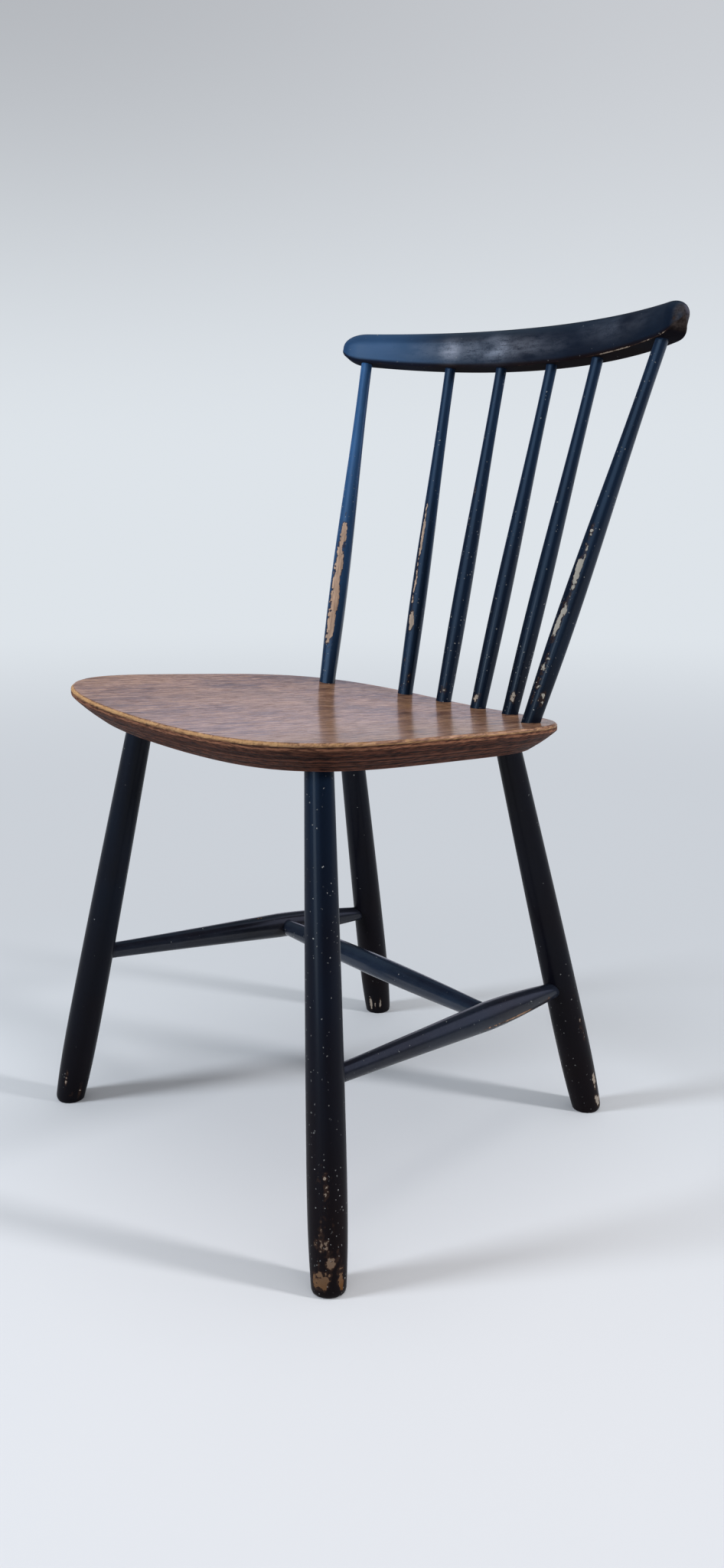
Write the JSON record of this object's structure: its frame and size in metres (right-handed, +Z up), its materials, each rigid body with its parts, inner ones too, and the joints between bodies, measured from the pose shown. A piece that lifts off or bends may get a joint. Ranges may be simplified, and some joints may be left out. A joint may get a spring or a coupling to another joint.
{
  "type": "spindle-back side chair",
  "caption": "Spindle-back side chair with a dished plywood seat, splayed turned legs, stretchers and a curved crest rail, its dark lacquer worn to bare wood.",
  "frame": {"origin": "on the floor, at the middle of the box around the chair", "axes": "+Z up, the chair faces -Y, and x = 0 is its plane of symmetry with +X to the right of someone who faces the chair"},
  "size_m": [0.4558, 0.4844, 0.7942],
  "materials": {
    "seat_veneer": "satin varnished plywood with a brown face veneer, its upper edge rubbed pale and its plies showing in the bevel",
    "worn_lacquer": "blue-black lacquer on wood, glossy, chipped and rubbed through to bare orange-brown wood"
  },
  "bodies": {
    "root": {"seat": "seat_veneer", "front_leg_left": "worn_lacquer", "front_leg_right": "worn_lacquer", "rear_leg_left": "worn_lacquer", "rear_leg_right": "worn_lacquer", "side_stretcher_left": "worn_lacquer", "side_stretcher_right": "worn_lacquer", "cross_stretcher": "worn_lacquer", "spindle_outer_left": "worn_lacquer", "spindle_middle_left": "worn_lacquer", "spindle_inner_left": "worn_lacquer", "spindle_inner_right": "worn_lacquer", "spindle_middle_right": "worn_lacquer", "spindle_outer_right": "worn_lacquer", "crest_rail": "worn_lacquer"}
  },
  "joints": []
}
